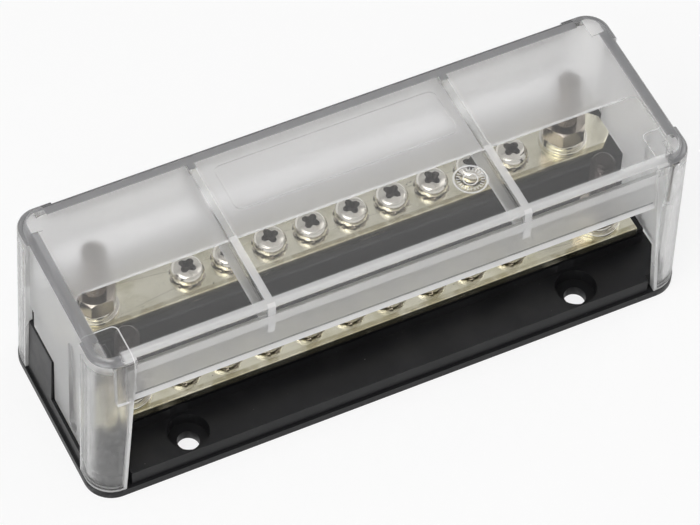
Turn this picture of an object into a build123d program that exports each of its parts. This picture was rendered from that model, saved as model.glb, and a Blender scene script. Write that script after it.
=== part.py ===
"""Two-tier bus bar: a stepped moulded base, two plated bars and a lift-off cover.

Frame: X runs along the bars, +Y towards the tall rear tier, +Z up.
The origin is the middle of the footprint, on the mounting surface. Millimetres.
"""
import os
from math import radians, tan

from build123d import *

os.makedirs("parts", exist_ok=True)

# Base footprint
base_length = 158.0
base_depth = 52.5
base_corner = 7.0
foot_height = 2.2
body_setback = 0.6
body_draft = 2.0

# Tiers of the base
flange_top = 6.6
lower_seat = 12.1
upper_seat = 21.3
pedestal_end_margin = 5.5
pedestal_overlap = 0.9
riser_y = 2.4
edge_round = 0.6
front_groove_height = 1.1
front_groove_depth = 0.7
front_groove_drop = 1.3

# Bars, one moulding used twice: the lower one is turned half round
bar_width = 13.0
bar_thickness = 2.5
bar_edge_round = 0.35
bar_corner_cut = 3.7
bar_square_overhang = 8.2
bar_cut_overhang = 11.6
upper_bar_y = 10.7
lower_bar_y = -8.5

# Studs
stud_end_margin = 16.1
stud_diameter = 6.0
stud_shank_diameter = 5.6
stud_headroom = 5.2
stud_tip = 1.3
stud_head_flats = 10.0
stud_head_height = 4.0
stud_web = 6.0

# Stud hardware
nut_flats = 10.0
nut_height = 5.0
flat_washer_diameter = 12.0
flat_washer_thickness = 1.2
spring_washer_diameter = 10.6
spring_washer_thickness = 1.5
spring_washer_gap = 1.2

# Terminal screws
screw_count = 9
screw_row_margin = 19.3
screw_row_shift = 4.9
screw_diameter = 4.0
screw_length = 8.0
screw_head_diameter = 8.2
screw_head_height = 2.9
screw_head_rim = 0.9
screw_head_flat = 4.6
recess_width = 1.1
recess_span = 4.6
recess_depth = 1.7
star_diameter = 8.9
star_root_diameter = 7.2
star_thickness = 0.6
star_teeth = 10

# Mounting holes
mount_end_margin = 26.8
mount_front_margin = 6.35
mount_hole_diameter = 5.5
mount_bore_diameter = 10.4
mount_bore_depth = 3.7
mount_relief_diameter = 12.4

# Cored underside
core_pitch = 15.0
core_rib = 2.0
core_round = 1.0
low_core_ceiling = 4.0
tall_core_ceiling = 13.0
core_wall = 2.6

# Cover
cover_top = 52.0
cover_wall = 2.0
cover_setback = 1.95
cover_corner = 6.2
cover_draft = 0.45
cover_round = 1.2
window_sill = 34.7
post_leg_x = 8.0
post_leg_y = 9.7
post_leg_x_draft = 4.0
post_leg_y_draft = 1.4
post_draft = 1.05
post_setback = 0.15
post_recess = 0.4
rib_spacing = 66.6
rib_width = 2.0
rib_depth = 8.3
channel_y = -9.3
channel_width = 4.2
channel_depth = 0.7
channel_top = 42.0
channel_foot = 8.4
notch_width = 2.2
notch_height = 5.7
clear_end_margin = 1.25
clear_back = -2.4
clear_round = 2.6
clear_depth = 0.15
frame_length = 58.4
frame_back = 18.1
frame_front = 3.8
frame_round = 2.0
frame_line = 0.25
frame_line_depth = 0.12
insert_x = 25.1
insert_y = -10.0
insert_diameter = 8.6
insert_ring = 0.5
insert_depth = 0.15

# Clearances
running_gap = 0.05
seat_gap = 0.3
bore_gap = 0.2
thread_end_gap = 0.6

# Places worked out from the sizes
body_length = base_length - 2 * body_setback
body_depth = base_depth - 2 * body_setback
pedestal_front = lower_bar_y - bar_width / 2 + pedestal_overlap
pedestal_length = base_length - 2 * pedestal_end_margin
stud_span = base_length - 2 * stud_end_margin
stud_x = stud_span / 2
stud_above_bar = cover_top - stud_headroom - upper_seat - bar_thickness
screw_pitch = (stud_span - 2 * screw_row_margin) / (screw_count - 1)
mount_spacing = base_length - 2 * mount_end_margin
mount_y = mount_front_margin - base_depth / 2
cover_length = base_length - 2 * cover_setback
cover_width = base_depth - 2 * cover_setback
post_span_x = base_length - 2 * post_setback
post_span_y = base_depth - 2 * post_setback
post_inner_x = post_span_x - 2 * cover_wall
post_inner_y = post_span_y - 2 * cover_wall
notch_leg_x = post_leg_x + (upper_seat - foot_height) * tan(radians(post_leg_x_draft)) + seat_gap
notch_leg_y = post_leg_y + (upper_seat - foot_height) * tan(radians(post_leg_y_draft)) + seat_gap
bar_length = stud_span + bar_square_overhang + bar_cut_overhang
bar_middle = (bar_cut_overhang - bar_square_overhang) / 2
stud_stack = flat_washer_thickness + spring_washer_thickness
ceiling = cover_top - cover_wall
inner_length = cover_length - 2 * cover_wall
inner_width = cover_width - 2 * cover_wall
clear_length = inner_length - 2 * clear_end_margin
upper_side = 1
lower_side = -1


# Moulded base
with BuildPart() as base:
    with BuildSketch():
        RectangleRounded(body_length, body_depth, base_corner - body_setback)
    extrude(amount=upper_seat, taper=body_draft)
    with BuildSketch(Plane.YZ):
        with BuildLine():
            Polyline(
                (-base_depth / 2, 0),
                (-base_depth / 2, flange_top),
                (riser_y - seat_gap, flange_top),
                (riser_y, upper_seat),
                (base_depth / 2, upper_seat),
                (base_depth / 2, 0),
                close=True,
            )
        make_face()
    extrude(amount=base_length / 2, both=True, mode=Mode.INTERSECT)
    top_rims = base.edges().filter_by(Axis.Z, reverse=True).group_by(Axis.Z)[-1]
    fillet(top_rims, radius=edge_round)

    # Low pedestal under the front bar, with a groove along its front
    with BuildSketch(Plane.XY.offset(flange_top)):
        with Locations((0, (pedestal_front + riser_y) / 2)):
            Rectangle(pedestal_length, riser_y - pedestal_front)
    extrude(amount=lower_seat - flange_top)
    with BuildSketch(Plane.YZ):
        with Locations((pedestal_front, lower_seat - front_groove_drop - front_groove_height / 2)):
            Rectangle(2 * front_groove_depth, front_groove_height)
    extrude(amount=pedestal_length / 2, both=True, mode=Mode.SUBTRACT)

    # Driver relief in the pedestal over each mounting hole
    with BuildSketch(Plane.XY.offset(flange_top)):
        with Locations((-mount_spacing / 2, mount_y), (mount_spacing / 2, mount_y)):
            Circle(mount_relief_diameter / 2)
    extrude(amount=lower_seat - flange_top, mode=Mode.SUBTRACT)

    # Corner notches that the cover's posts come down into
    with BuildSketch(Plane.XY.offset(foot_height)):
        with GridLocations(base_length, base_depth, 2, 2):
            Rectangle(2 * notch_leg_x, 2 * notch_leg_y)
        RectangleRounded(
            post_inner_x - 2 * seat_gap,
            post_inner_y - 2 * seat_gap,
            base_corner - cover_wall,
            mode=Mode.SUBTRACT,
        )
    extrude(amount=upper_seat, mode=Mode.SUBTRACT)

    # Thin foot that carries the posts
    with BuildSketch():
        RectangleRounded(base_length, base_depth, base_corner)
    extrude(amount=foot_height)

    # Counterbored mounting holes in the front flange
    with Locations(Plane.XY.offset(flange_top)):
        with Locations((-mount_spacing / 2, mount_y), (mount_spacing / 2, mount_y)):
            CounterBoreHole(mount_hole_diameter / 2, mount_bore_diameter / 2, mount_bore_depth)

    # Stud holes with hex pockets below, and screw wells, for each bar
    for side, bar_y, seat in ((upper_side, upper_bar_y, upper_seat), (lower_side, lower_bar_y, lower_seat)):
        with BuildSketch(Plane.XY):
            with Locations((-stud_x, bar_y), (stud_x, bar_y)):
                Circle(stud_diameter / 2 + bore_gap)
        extrude(amount=seat, mode=Mode.SUBTRACT)
        with BuildSketch(Plane.XY):
            with Locations((-stud_x, bar_y), (stud_x, bar_y)):
                RegularPolygon(stud_head_flats / 2 + bore_gap, 6, major_radius=False)
        extrude(amount=seat - stud_web, mode=Mode.SUBTRACT)
        with BuildSketch(Plane.XY.offset(seat)):
            with Locations((side * screw_row_shift, bar_y)):
                with GridLocations(screw_pitch, screw_pitch, screw_count, 1):
                    Circle(screw_diameter / 2 + seat_gap)
        well_depth = screw_length - bar_thickness - star_thickness + thread_end_gap
        extrude(amount=-well_depth, mode=Mode.SUBTRACT)

    # Cored underside: two rows of cells under each tier
    cell = core_pitch - core_rib
    back_edge = body_depth / 2 - core_wall
    tall_row = (back_edge - riser_y - core_wall - core_rib) / 2
    tall_middle = (back_edge + riser_y + core_wall) / 2
    with BuildSketch():
        with Locations((0, tall_middle)):
            with GridLocations(core_pitch, tall_row + core_rib, 7, 2):
                RectangleRounded(cell, tall_row, core_round)
    extrude(amount=tall_core_ceiling, mode=Mode.SUBTRACT)
    low_row = riser_y - core_wall - pedestal_front - core_rib
    with BuildSketch():
        with Locations((0, (riser_y - core_wall + pedestal_front + core_rib) / 2)):
            with GridLocations(core_pitch, core_pitch, 7, 1):
                RectangleRounded(cell, low_row, core_round)
        with Locations((0, (pedestal_front - back_edge) / 2)):
            with GridLocations(core_pitch, core_pitch, 5, 1):
                RectangleRounded(cell, back_edge + pedestal_front, core_round)
    extrude(amount=low_core_ceiling, mode=Mode.SUBTRACT)

base.part.label = "base"
export_step(base.part, "parts/base.step")


# Bars
def bus_bar(side, bar_y, seat):
    """Plated flat bar with stud holes and tapped screw holes; one end has cut corners."""
    bar_plane = Plane((0, bar_y, seat), x_dir=(side, 0, 0), z_dir=(0, 0, 1))
    with BuildPart() as bar:
        with BuildSketch(bar_plane) as outline:
            with Locations((bar_middle, 0)):
                Rectangle(bar_length, bar_width)
            chamfer(outline.vertices().group_by(Axis.X)[-1], length=bar_corner_cut)
            with Locations((-stud_x, 0), (stud_x, 0)):
                Circle(stud_diameter / 2 + running_gap, mode=Mode.SUBTRACT)
            with Locations((screw_row_shift, 0)):
                with GridLocations(screw_pitch, screw_pitch, screw_count, 1):
                    Circle(screw_diameter / 2 + running_gap, mode=Mode.SUBTRACT)
        extrude(amount=bar_thickness)
        top_face = bar.faces().sort_by(Axis.Z)[-1]
        fillet(top_face.outer_wire().edges(), radius=bar_edge_round)
    return bar.part


upper_bar = bus_bar(upper_side, upper_bar_y, upper_seat)
upper_bar.label = "upper_bar"
export_step(upper_bar, "parts/upper_bar.step")

lower_bar = bus_bar(lower_side, lower_bar_y, lower_seat)
lower_bar.label = "lower_bar"
export_step(lower_bar, "parts/lower_bar.step")


# Stud bolts, washers and nuts
def stud_bolt(x, bar_y, seat):
    """Bolt held in the base by its hex head; its free thread stands above the nut."""
    head_top = seat - stud_web
    nut_top = seat + bar_thickness + stud_stack + nut_height
    tip_z = seat + bar_thickness + stud_above_bar
    with BuildPart() as stud:
        with BuildSketch(Plane((x, bar_y, head_top - stud_head_height))):
            RegularPolygon(stud_head_flats / 2, 6, major_radius=False)
        extrude(amount=stud_head_height)
        with BuildSketch(Plane((x, bar_y, head_top))):
            Circle(stud_shank_diameter / 2)
        extrude(amount=nut_top - head_top)
        with BuildSketch(Plane((x, bar_y, nut_top))):
            Circle(stud_diameter / 2)
        extrude(amount=tip_z - nut_top)
        fillet(stud.edges().group_by(Axis.Z)[-1], radius=stud_tip)
    return stud.part


def flat_washer(x, bar_y, bar_top):
    """Plain washer face to face on the bar."""
    with BuildPart() as washer:
        with BuildSketch(Plane((x, bar_y, bar_top))):
            Circle(flat_washer_diameter / 2)
            Circle(stud_diameter / 2 + bore_gap, mode=Mode.SUBTRACT)
        extrude(amount=flat_washer_thickness)
    return washer.part


def spring_washer(x, bar_y, bar_top):
    """Split ring, closed flat between washer and nut, with a slanted gap."""
    gap_plane = Plane((x, bar_y, bar_top + flat_washer_thickness), x_dir=(0, 1, 0), z_dir=(-1, 0, 0))
    half_gap = spring_washer_gap / 2
    with BuildPart() as washer:
        with BuildSketch(Plane((x, bar_y, bar_top + flat_washer_thickness))):
            Circle(spring_washer_diameter / 2)
            Circle(stud_diameter / 2 + bore_gap, mode=Mode.SUBTRACT)
        extrude(amount=spring_washer_thickness)
        with BuildSketch(gap_plane):
            with BuildLine():
                Polyline(
                    (-2 * half_gap, -spring_washer_thickness),
                    (0, -spring_washer_thickness),
                    (2 * half_gap, 2 * spring_washer_thickness),
                    (0, 2 * spring_washer_thickness),
                    close=True,
                )
            make_face()
        extrude(amount=spring_washer_diameter, mode=Mode.SUBTRACT)
    return washer.part


def hex_nut(x, bar_y, bar_top):
    """Hex nut with both faces turned to a cone at the corners."""
    corner_radius = nut_flats / 2 / tan(radians(60)) * 2
    flat_radius = nut_flats / 2
    cone_drop = (corner_radius - flat_radius) * tan(radians(30))
    nut_base = bar_top + stud_stack
    with BuildPart() as nut:
        with BuildSketch(Plane((x, bar_y, nut_base))):
            RegularPolygon(flat_radius, 6, major_radius=False)
        extrude(amount=nut_height)
        with BuildSketch(Plane((x, bar_y, nut_base), x_dir=(1, 0, 0), z_dir=(0, -1, 0))):
            with BuildLine():
                Polyline(
                    (stud_shank_diameter / 2 + running_gap, 0),
                    (flat_radius, 0),
                    (corner_radius, cone_drop),
                    (corner_radius, nut_height - cone_drop),
                    (flat_radius, nut_height),
                    (stud_shank_diameter / 2 + running_gap, nut_height),
                    close=True,
                )
            make_face()
        revolve(axis=Axis((x, bar_y, 0), (0, 0, 1)), mode=Mode.INTERSECT)
    return nut.part


for tier, bar_y, seat in (("upper", upper_bar_y, upper_seat), ("lower", lower_bar_y, lower_seat)):
    for hand, x in (("left", -stud_x), ("right", stud_x)):
        for piece_name, piece in (
            ("stud", stud_bolt(x, bar_y, seat)),
            ("flat_washer", flat_washer(x, bar_y, seat + bar_thickness)),
            ("spring_washer", spring_washer(x, bar_y, seat + bar_thickness)),
            ("nut", hex_nut(x, bar_y, seat + bar_thickness)),
        ):
            piece.label = f"{tier}_{hand}_{piece_name}"
            export_step(piece, f"parts/{piece.label}.step")


# Terminal screws and their star washers
def terminal_screw(x, bar_y, bar_top):
    """Pan head screw with a cross recess, down through the bar into its well."""
    head_base = bar_top + star_thickness
    screw_plane = Plane((x, bar_y, head_base), x_dir=(1, 0, 0), z_dir=(0, -1, 0))
    with BuildPart() as screw:
        with BuildSketch(screw_plane):
            with BuildLine():
                Line((0, screw_head_height), (0, -screw_length))
                Line((0, -screw_length), (screw_diameter / 2, -screw_length))
                Line((screw_diameter / 2, -screw_length), (screw_diameter / 2, 0))
                Line((screw_diameter / 2, 0), (screw_head_diameter / 2, 0))
                rim = Line((screw_head_diameter / 2, 0), (screw_head_diameter / 2, screw_head_rim))
                shoulder = TangentArc(rim @ 1, (screw_head_flat / 2, screw_head_height), tangent=rim % 1)
                Line(shoulder @ 1, (0, screw_head_height))
            make_face()
        revolve(axis=Axis((x, bar_y, 0), (0, 0, 1)))
        with BuildSketch(Plane((x, bar_y, head_base + screw_head_height - recess_depth))):
            Rectangle(recess_span, recess_width)
            Rectangle(recess_width, recess_span)
        extrude(amount=screw_head_height, mode=Mode.SUBTRACT)
    return screw.part


def star_washer(x, bar_y, bar_top):
    """External tooth washer between screw head and bar."""
    tooth_width = star_diameter / star_teeth
    with BuildPart() as star:
        with BuildSketch(Plane((x, bar_y, bar_top))):
            Circle(star_root_diameter / 2)
            with PolarLocations(0, star_teeth):
                with Locations((star_diameter / 4, 0)):
                    Rectangle(star_diameter / 2, tooth_width)
            Circle(screw_diameter / 2 + bore_gap, mode=Mode.SUBTRACT)
        extrude(amount=star_thickness)
    return star.part


for tier, side, bar_y, seat in (
    ("upper", upper_side, upper_bar_y, upper_seat),
    ("lower", lower_side, lower_bar_y, lower_seat),
):
    first_x = side * screw_row_shift - screw_pitch * (screw_count - 1) / 2
    row = [first_x + screw_pitch * place for place in range(screw_count)]
    screws = Compound(children=[terminal_screw(x, bar_y, seat + bar_thickness) for x in row])
    screws.label = f"{tier}_screws"
    export_step(screws, f"parts/{screws.label}.step")
    stars = Compound(children=[star_washer(x, bar_y, seat + bar_thickness) for x in row])
    stars.label = f"{tier}_star_washers"
    export_step(stars, f"parts/{stars.label}.step")


# Corner posts of the cover: they bulge past the walls and stand on the base's foot
post_height = cover_top - cover_round / 2 - foot_height
with BuildPart() as posts:
    with BuildSketch(Plane.XY.offset(foot_height)):
        RectangleRounded(post_span_x, post_span_y, base_corner - post_setback)
    extrude(amount=post_height, taper=post_draft)
    fillet(posts.edges().group_by(Axis.Z)[-1], radius=cover_round)
    with BuildSketch(Plane.XY.offset(foot_height)):
        RectangleRounded(post_inner_x, post_inner_y, base_corner - cover_wall)
    extrude(amount=ceiling + post_recess - foot_height, taper=post_draft / 2, mode=Mode.SUBTRACT)
    with BuildSketch(Plane.XY.offset(foot_height)):
        Rectangle(base_length - 2 * post_leg_x, 2 * base_depth)
    extrude(amount=post_height, taper=post_leg_x_draft, mode=Mode.SUBTRACT)
    with BuildSketch(Plane.XY.offset(foot_height)):
        Rectangle(2 * base_length, base_depth - 2 * post_leg_y)
    extrude(amount=post_height, taper=post_leg_y_draft, mode=Mode.SUBTRACT)

# Cover: tapered box with posts, ribs, wire windows and stepped end walls
with BuildPart() as cover:
    with BuildSketch(Plane.XY.offset(cover_top)):
        RectangleRounded(cover_length, cover_width, cover_corner)
    extrude(amount=-(cover_top - flange_top - seat_gap), taper=-cover_draft)
    fillet(cover.edges().group_by(Axis.Z)[-1], radius=cover_round)
    with BuildSketch(Plane.XY.offset(ceiling)):
        RectangleRounded(inner_length, inner_width, cover_corner - cover_wall)
    extrude(amount=-cover_top, taper=-cover_draft, mode=Mode.SUBTRACT)

    # Wire windows below the front and back skirts
    with BuildSketch(Plane.XY.offset(window_sill)):
        Rectangle(2 * base_length, 2 * base_depth)
        Rectangle(2 * base_length, inner_width - 2 * seat_gap, mode=Mode.SUBTRACT)
    extrude(amount=-window_sill, mode=Mode.SUBTRACT)

    # End walls stop short of the tall tier, with a relief beside each rear post
    with BuildSketch(Plane.YZ):
        with BuildLine():
            Polyline(
                (riser_y - 2 * seat_gap, 0),
                (riser_y - 2 * seat_gap, upper_seat + seat_gap),
                (base_depth / 2 - notch_leg_y - notch_width, upper_seat + seat_gap),
                (base_depth / 2 - notch_leg_y - notch_width, upper_seat + notch_height),
                (base_depth / 2, upper_seat + notch_height),
                (base_depth / 2, 0),
                close=True,
            )
        make_face()
    extrude(amount=base_length / 2, both=True, mode=Mode.SUBTRACT)

    # Round-ended channel down the outside of each end wall
    for end in (-1, 1):
        with BuildSketch(Plane.YZ.offset(end * cover_length / 2)):
            with Locations((channel_y, (channel_top + channel_foot) / 2)):
                SlotOverall(channel_top - channel_foot, channel_width, rotation=90)
        extrude(amount=channel_depth, both=True, mode=Mode.SUBTRACT)

    # Posts joined on, and their inner corners opened to an even wall
    add(posts.part)
    for post_end in (-1, 1):
        for post_side in (-1, 1):
            with BuildSketch(Plane.XY.offset(foot_height)):
                RectangleRounded(post_inner_x, post_inner_y, base_corner - cover_wall)
                with Locations((post_end * base_length / 2, post_side * base_depth / 2)):
                    Rectangle(
                        2 * (post_leg_x - cover_wall / 2),
                        2 * (post_leg_y - cover_wall / 2),
                        mode=Mode.INTERSECT,
                    )
            extrude(amount=ceiling + post_recess - foot_height, taper=post_draft / 2, mode=Mode.SUBTRACT)

    # Stiffening ribs across the underside of the top
    with BuildSketch(Plane.XY.offset(ceiling - rib_depth)):
        with GridLocations(rib_spacing, 0, 2, 1):
            Rectangle(rib_width, inner_width + cover_wall)
    extrude(amount=rib_depth + cover_wall / 2)

    # Polished window: a shallow step in the front half of the ceiling
    window_front = -inner_width / 2
    with BuildSketch(Plane.XY.offset(ceiling)):
        with Locations((0, (clear_back + window_front) / 2)):
            RectangleRounded(clear_length, clear_back - window_front, clear_round)
    extrude(amount=clear_depth, mode=Mode.SUBTRACT)

    # Bare label frame, a fine line in the rear half of the top
    with BuildSketch(Plane.XY.offset(cover_top)):
        with Locations((0, (frame_back + frame_front) / 2)):
            RectangleRounded(frame_length, frame_back - frame_front, frame_round)
            RectangleRounded(
                frame_length - 2 * frame_line,
                frame_back - frame_front - 2 * frame_line,
                frame_round - frame_line,
                mode=Mode.SUBTRACT,
            )
    extrude(amount=-frame_line_depth, mode=Mode.SUBTRACT)

    # Round moulding insert mark on the top
    with BuildSketch(Plane.XY.offset(cover_top)):
        with Locations((insert_x, insert_y)):
            Circle(insert_diameter / 2)
            Circle(insert_diameter / 2 - insert_ring, mode=Mode.SUBTRACT)
    extrude(amount=-insert_depth, mode=Mode.SUBTRACT)

cover.part.label = "cover"
export_step(cover.part, "parts/cover.step")
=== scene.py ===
"""Two-tier bus bar under a frosted lift-off cover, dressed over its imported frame.

Places and sizes are in metres in the row frame.
X runs along the bars, +Y towards the tall tier, and +Z up.
"""

from collections import namedtuple
from math import cos, pi, radians, sin

import bmesh
import bpy
from bpy.props import FloatProperty, FloatVectorProperty, IntProperty, PointerProperty
from mathutils import Matrix, Vector


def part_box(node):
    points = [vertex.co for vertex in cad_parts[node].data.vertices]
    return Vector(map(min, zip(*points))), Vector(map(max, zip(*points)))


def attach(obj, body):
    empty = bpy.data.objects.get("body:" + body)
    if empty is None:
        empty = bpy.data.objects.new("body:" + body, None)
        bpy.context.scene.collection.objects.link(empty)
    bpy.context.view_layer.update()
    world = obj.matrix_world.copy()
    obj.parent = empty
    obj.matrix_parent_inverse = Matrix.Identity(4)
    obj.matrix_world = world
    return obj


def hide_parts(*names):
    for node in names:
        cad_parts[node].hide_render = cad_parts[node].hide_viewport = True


bl_info = {
    "name": "Two-tier bus bar",
    "version": (1, 0, 0),
    "blender": (4, 5, 0),
    "location": "3D View > Sidebar > Bus bar",
    "description": "Dresses the bus bar's base, bars, terminals and cover, and sets its stage",
    "category": "Object",
}

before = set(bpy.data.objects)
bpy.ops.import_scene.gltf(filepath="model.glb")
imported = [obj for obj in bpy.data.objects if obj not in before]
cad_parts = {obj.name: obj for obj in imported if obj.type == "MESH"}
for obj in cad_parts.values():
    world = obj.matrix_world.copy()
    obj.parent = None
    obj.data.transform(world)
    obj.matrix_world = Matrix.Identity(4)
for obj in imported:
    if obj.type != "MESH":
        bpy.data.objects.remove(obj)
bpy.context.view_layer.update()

MM = 0.001
TIERS = ("upper", "lower")
HANDS = ("left", "right")
SCREWS_IN_A_ROW = 9
ROUND_SIDES = 48
MIDDLE = Vector((0, 0, 20 * MM))


def length(name, description, default):
    """A length setting in metres, with its default in millimetres."""
    return FloatProperty(
        name=name, description=description, default=default * MM, unit="LENGTH", precision=5
    )


def share(name, description, default):
    """A setting from 0 to 1."""
    return FloatProperty(
        name=name, description=description, default=default, min=0, max=1, subtype="FACTOR"
    )


def angle(name, description, default):
    """An angle setting, with its default in degrees."""
    return FloatProperty(
        name=name, description=description, default=radians(default), subtype="ANGLE"
    )


def number(name, description, default):
    """A plain number setting."""
    return FloatProperty(name=name, description=description, default=default)


def count(name, description, default):
    """A whole number setting."""
    return IntProperty(name=name, description=description, default=default)


def colour(name, description, default):
    """A colour setting."""
    return FloatVectorProperty(
        name=name, description=description, default=default, size=3, min=0, max=1, subtype="COLOR"
    )


class BasePlastic(bpy.types.PropertyGroup):
    """Finish of the black base moulding."""

    black: colour("Black", "Colour of the moulding", (0.010, 0.010, 0.011))
    dusty: colour("Dusty black", "Colour where dust lies in the grain", (0.018, 0.018, 0.019))
    fleck: colour("Fleck", "Colour of fine specks of dust", (0.16, 0.16, 0.16))
    roughness: share("Roughness", "Roughness of the moulded faces", 0.38)
    gloss: share("Gloss", "Specular level of the moulded faces", 0.27)
    edge: length("Edge", "Rounding of the moulded edges", 0.22)


class CoverPlastic(bpy.types.PropertyGroup):
    """Finish of the translucent cover."""

    tint: colour("Tint", "Colour of the plastic in the walls", (0.93, 0.93, 0.925))
    top_tint: colour("Top tint", "Colour of the plastic in the top", (1.0, 0.995, 0.995))
    # Painted shade: a near-black line along the back of the top, where it turns down into the rear
    # wall.
    back_shade_line: colour("Back line", "Colour of the line at the back of the top", (0.05, 0.05, 0.055))
    back_shade_line_width: length("Back line width", "Width of that line, from the wall inwards", 1.0)
    # Painted shade: this grey stands in for the darker look deep in the top's rounded rim.
    rim_shade: colour("Rim tint", "Colour deep in the top's rounded rim", (0.32, 0.32, 0.33))
    frost_roughness: share("Frost roughness", "Roughness of the frosted walls", 0.30)
    ceiling_roughness: share("Ceiling roughness", "Roughness of the frosted ceiling", 0.48)
    post_roughness: share("Post roughness", "Roughness of the corner posts", 0.17)
    polish_roughness: share("Polish roughness", "Roughness of the polished window", 0.02)
    frost_body: share("Frost clearness", "How much light passes through a frosted wall", 0.86)
    post_body: share("Post clearness", "How much light passes through a corner post", 0.96)
    ceiling_body: share("Ceiling clearness", "How much light passes through the ceiling", 0.75)
    polish_body: share("Polish clearness", "How much light passes through a polished face", 0.99)
    edge_body: share("Edge clearness", "How much light passes through the pale edges", 0.30)
    window_back: length("Window back edge", "Y of the polished window's back edge", -2.4)
    window_end: length("Window end", "Half length of the polished window", 73.8)
    window_corner: length("Window corner", "Corner rounding of the polished window", 2.6)
    band_foot: length("Polished band foot", "Height where the skirts' polished band ends", 48.1)
    pale_foot: length("Pale band foot", "Height where the pale band below it ends", 44.9)
    sill: length("Sill", "Height of the wire windows' upper edge", 34.7)
    rim_width: length("Rim width", "Width of the grey rim round the top", 3.2)
    rim_notch: length("Rim notch", "Reach of the rim's grey along each rib's end", 1.6)
    rim_corner: length("Rim corner", "Corner rounding of the top's outline", 6.2)
    rib_place: length("Rib place", "Distance of each rib from the middle", 33.3)
    mark_x: length("Mark X", "X of the round insert mark", 25.1)
    mark_y: length("Mark Y", "Y of the round insert mark", -10.0)
    mark_radius: length("Mark radius", "Radius of the round insert mark", 4.3)
    mark_ticks: count("Mark ticks", "Ticks round the insert mark", 24)


class Plating(bpy.types.PropertyGroup):
    """Finish of the plated bars and fasteners."""

    bar: colour("Bar", "Colour of the plated bars", (0.75, 0.725, 0.60))
    bar_stain: colour("Bar stain", "Colour of faint stains on the bars", (0.60, 0.57, 0.42))
    bar_roughness: share("Bar roughness", "Roughness of the bars", 0.24)
    fastener: colour("Fastener", "Colour of the nickel plating", (0.61, 0.59, 0.54))
    fastener_roughness: share("Fastener roughness", "Roughness of the fasteners", 0.16)
    screw_stain: colour("Screw stain", "Colour of faint stains on the screws", (0.58, 0.55, 0.48))
    nut: colour("Nut", "Colour of the nuts", (0.41, 0.37, 0.32))
    # The star washers are darker than the other nickel: painted shade under the screw heads.
    star: colour("Star washer", "Colour of the star washers", (0.36, 0.33, 0.29))
    # Painted shade: a near-black colour down in the cross recesses, where shade falls.
    recess: colour("Screw recess", "Colour down in the cross recesses", (0.06, 0.052, 0.045))
    # Partly painted shade: this darker strip covers the bars' side faces, which sit in shade, as
    # well as worn plating.
    wear_and_shade: colour("Worn edge", "Colour of the worn plating at the bars' edges", (0.42, 0.38, 0.25))
    wear_and_shade_width: length("Worn width", "Width of the worn strip along each long edge of a bar", 1.3)
    stud: colour("Stud", "Colour of the upper studs", (0.11, 0.09, 0.07))
    # Painted shade: the lower studs are the same steel as the upper ones, darkened where they
    # mirror the black base.
    shaded_stud: colour("Lower stud", "Colour of the lower studs", (0.042, 0.036, 0.034))
    stud_stain: share("Stud stain", "Colour of the studs' stains, as a share of the stud's", 0.6)
    stud_roughness: share("Stud roughness", "Roughness of the studs", 0.30)


class Terminals(bpy.types.PropertyGroup):
    """Sizes of studs, screws and washers that are finer than the frame's."""

    thread_pitch: length("Thread pitch", "Pitch of the stud threads", 1.0)
    thread_root: length("Thread root", "Radius at the root of the stud threads", 2.45)
    thread_rows: count("Rows in a pitch", "Mesh rows along one thread pitch", 8)
    head_radius: length("Head radius", "Radius of the terminal screw heads", 4.1)
    head_height: length("Head height", "Height of the terminal screw heads", 2.9)
    recess_reach: length("Recess reach", "Radius out to the points of the cross recess", 2.45)
    recess_depth: length("Recess depth", "Depth of the cross recess", 1.9)
    teeth: count("Teeth", "Teeth of a star washer", 10)
    tooth_twist: angle("Tooth twist", "Twist of the star washer teeth", 24)


class Studio(bpy.types.PropertyGroup):
    """Camera, lamps and floor."""

    azimuth: angle("Azimuth", "Turn of the camera about the object", -28.65)
    elevation: angle("Elevation", "Camera's angle above the horizon", 52.76)
    roll: angle("Roll", "Camera's tilt", 3.48)
    distance: length("Distance", "Distance from camera to target", 995.4)
    focal: number("Lens", "Focal length in millimetres", 211.9)
    floor: colour("Floor", "Colour of the floor", (0.86, 0.86, 0.86))
    world_light: number("World light", "Strength of the light all round", 0.45)
    key_power: number("Key lamp", "Power of the key lamp in watts", 2.9)
    fill_power: number("Fill lamp", "Power of the fill lamp in watts", 1.1)


# Node trees


def socket(tree, shader, name, value):
    """Sets one of a node's sockets, or links an output to it."""
    target = shader.inputs[name]
    if isinstance(value, bpy.types.NodeSocket):
        tree.links.new(value, target)
    else:
        target.default_value = value


def node(tree, kind, sockets=(), **settings):
    """A node of the given kind, with its settings and sockets."""
    made = tree.nodes.new(kind)
    for name, value in settings.items():
        setattr(made, name, value)
    for name, value in dict(sockets).items():
        socket(tree, made, name, value)
    return made


def maths(tree, operation, *values):
    """Output of a Math node."""
    return node(tree, "ShaderNodeMath", enumerate(values), operation=operation).outputs[0]


def band(tree, value, low, high, to_low=0.0, to_high=1.0):
    """value mapped smoothly from low..high to to_low..to_high, and held beyond."""
    made = node(
        tree,
        "ShaderNodeMapRange",
        {"Value": value, "From Min": low, "From Max": high, "To Min": to_low, "To Max": to_high},
        interpolation_type="SMOOTHSTEP",
    )
    return made.outputs[0]


def speckle(tree, place, scale, detail=3.0, roughness=0.55, stretch=None):
    """Noise over the object, its scale in features per metre."""
    if stretch is not None:
        place = node(tree, "ShaderNodeMapping", {"Vector": place, "Scale": stretch}).outputs[0]
    made = node(
        tree,
        "ShaderNodeTexNoise",
        {"Vector": place, "Scale": scale, "Detail": detail, "Roughness": roughness},
    )
    return made.outputs[0]


def blend_colour(tree, fac, first, second):
    """Mix of two colours."""
    made = tree.nodes.new("ShaderNodeMix")
    made.data_type = "RGBA"
    socket(tree, made, 0, fac)
    for place, value in ((6, first), (7, second)):
        socket(tree, made, place, (*value, 1) if isinstance(value, (tuple, list)) else value)
    return made.outputs[2]


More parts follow.
